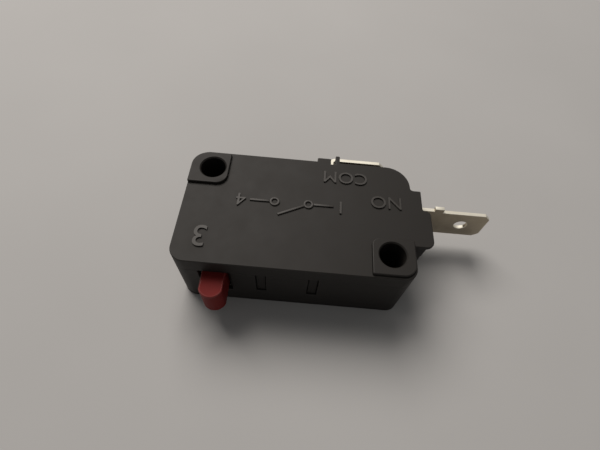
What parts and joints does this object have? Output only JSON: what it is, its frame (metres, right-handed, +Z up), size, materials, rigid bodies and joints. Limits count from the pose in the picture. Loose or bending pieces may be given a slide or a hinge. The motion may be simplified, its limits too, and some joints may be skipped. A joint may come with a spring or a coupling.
{
  "type": "micro switch",
  "caption": "Snap-action micro switch in a black moulded case, with a red pin plunger, a sprung contact arm inside, push-on tab terminals and diagonal mounting holes.",
  "frame": {"origin": "centre of the two mounting holes, on the back face of the base", "axes": "+Z up through the mounting holes to the cover, +X towards the side terminal, -Y out of the plunger face"},
  "size_m": [0.039, 0.0218, 0.0103],
  "materials": {
    "case": "black moulded plastic with a fine spark-eroded grain",
    "plunger": "brick-red moulded plastic",
    "lever": "natural moulded plastic",
    "arm": "rolled copper alloy strip",
    "contact": "silver alloy rivet",
    "spring": "drawn spring wire",
    "terminal": "nickel-plated brass strip"
  },
  "bodies": {
    "housing": {"base_housing": "case", "cover": "case", "common_terminal": "terminal", "side_terminal": "terminal", "fixed_contact": "contact"},
    "plunger": {"plunger": "plunger"},
    "lever": {"actuator_lever": "lever"},
    "arm": {"contact_arm": "arm", "moving_contact": "contact"},
    "spring": {"tension_spring": "spring"}
  },
  "joints": [
    {"name": "plunger_slide", "type": "slide", "parent": "housing", "child": "plunger", "axis": [0, 1, 0], "range_m": [0, 0.0022], "stiffness_N_per_m": 500, "springref_m": -0.002},
    {"name": "lever_pivot", "type": "hinge", "parent": "housing", "child": "lever", "pos_m": [0.001, -0.0023, 0.00515], "axis": [0, 0, 1], "range_deg": [-12.7, 0]},
    {"name": "arm_pivot", "type": "hinge", "parent": "housing", "child": "arm", "pos_m": [-0.006, 0.00085, 0.00515], "axis": [0, 0, 1], "range_deg": [0, 3.95]},
    {"name": "spring_swing", "type": "hinge", "parent": "arm", "child": "spring", "pos_m": [0.00359, 0.00052, 0.00515], "axis": [0, 0, 1], "range_deg": [-11.05, 0]}
  ],
  "couplings": [
    {"joint": "lever_pivot", "follows": "plunger_slide", "rad_per_m": -100},
    {"joint": "arm_pivot", "follows": "plunger_slide", "rad_per_m": 31.139},
    {"joint": "spring_swing", "follows": "plunger_slide", "rad_per_m": -87.251}
  ]
}
